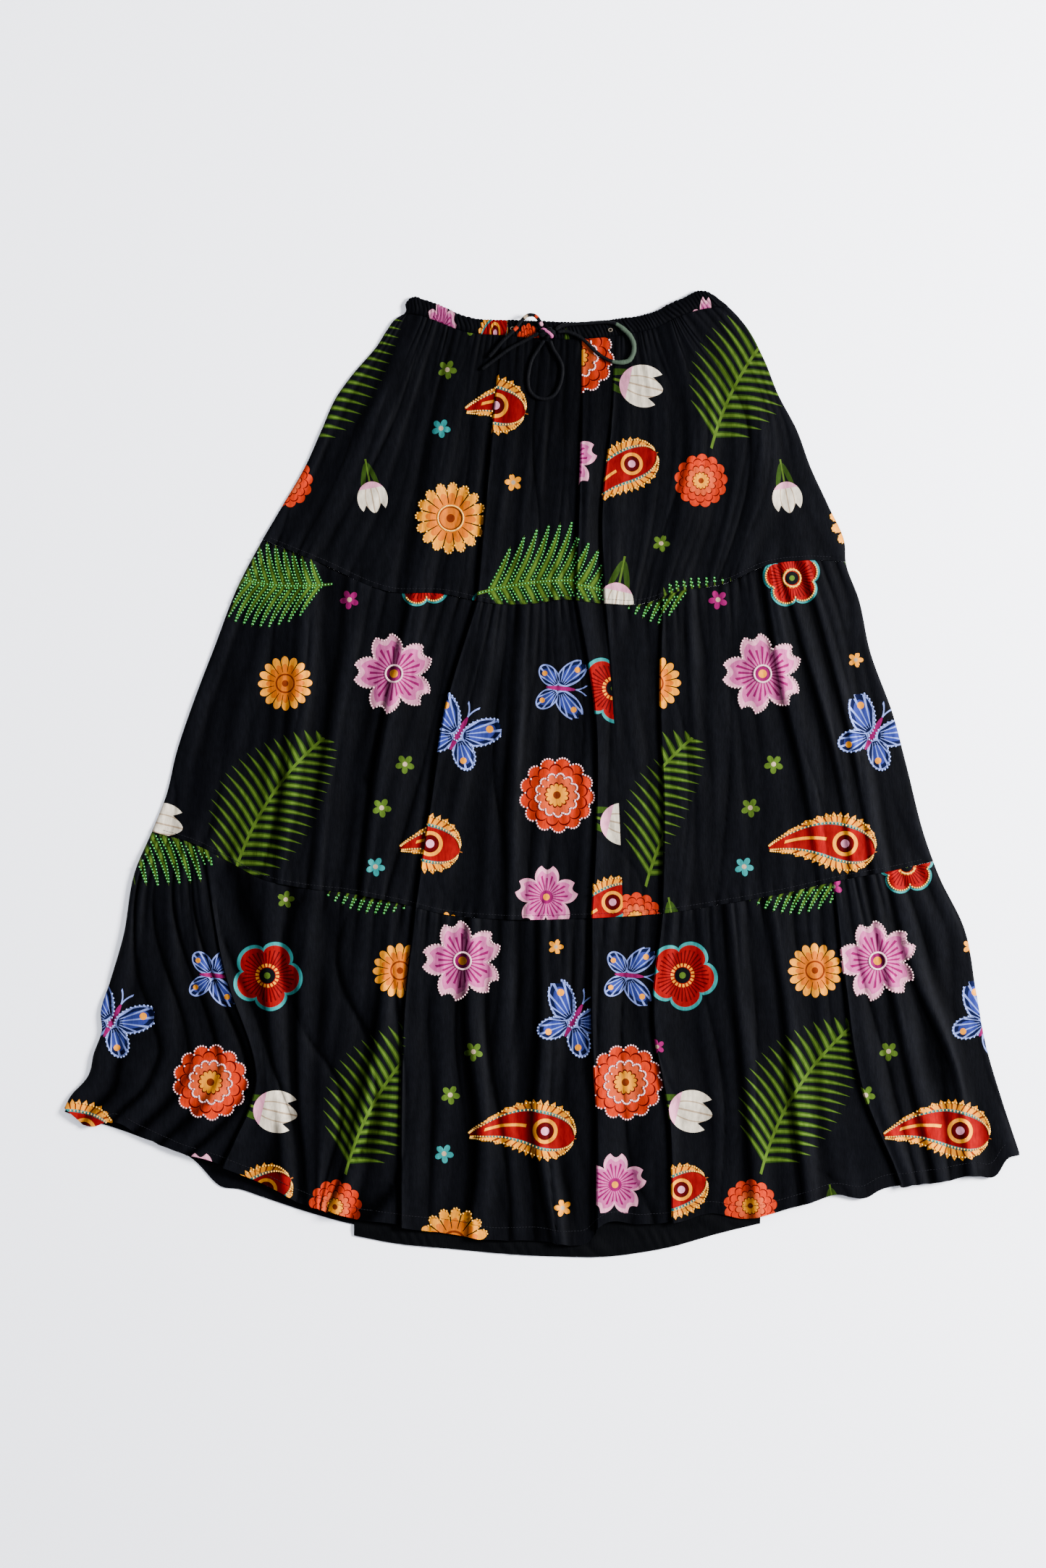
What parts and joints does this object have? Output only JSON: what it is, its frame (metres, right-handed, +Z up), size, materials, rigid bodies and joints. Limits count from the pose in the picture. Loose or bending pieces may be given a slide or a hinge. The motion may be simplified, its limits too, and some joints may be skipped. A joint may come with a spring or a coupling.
{
  "type": "tiered drawstring skirt laid flat",
  "caption": "Long gathered skirt in three tiers with an elastic drawstring waist tied in a bow, laid flat with its front up and its underskirt showing below the hem.",
  "frame": {"origin": "on the surface that the skirt lies on, at the middle of its plan", "axes": "+Z up out of the surface, +Y from the hem to the waist, +X to the right as seen from above"},
  "size_m": [0.95, 0.9607, 0.0147],
  "materials": {
    "waistband_front": "black crinkle crepe with printed flowers, gathered over elastic",
    "waistband_back": "black crinkle crepe, gathered over elastic",
    "tier1_front": "black crinkle crepe with printed and beaded flowers and leaves",
    "tier1_back": "black crinkle crepe with printed flowers and leaves",
    "tier2_front": "black crinkle crepe with printed and beaded flowers and leaves",
    "tier2_back": "black crinkle crepe with printed flowers and leaves",
    "tier3_front": "black crinkle crepe with printed and beaded flowers and leaves",
    "tier3_back": "black crinkle crepe with printed flowers and leaves",
    "lining_hem": "plain black lining cloth",
    "tie_cord": "narrow tube of the skirt's own printed black crepe"
  },
  "bodies": {
    "root": {"waistband_front": "waistband_front", "waistband_back": "waistband_back", "tier1_front": "tier1_front", "tier1_back": "tier1_back", "tier2_front": "tier2_front", "tier2_back": "tier2_back", "tier3_front": "tier3_front", "tier3_back": "tier3_back", "lining_hem": "lining_hem", "bow_knot": "tie_cord", "tie_loop_right": "tie_cord", "tie_loop_middle": "tie_cord", "tie_end_upper": "tie_cord", "tie_end_lower": "tie_cord"}
  },
  "joints": []
}
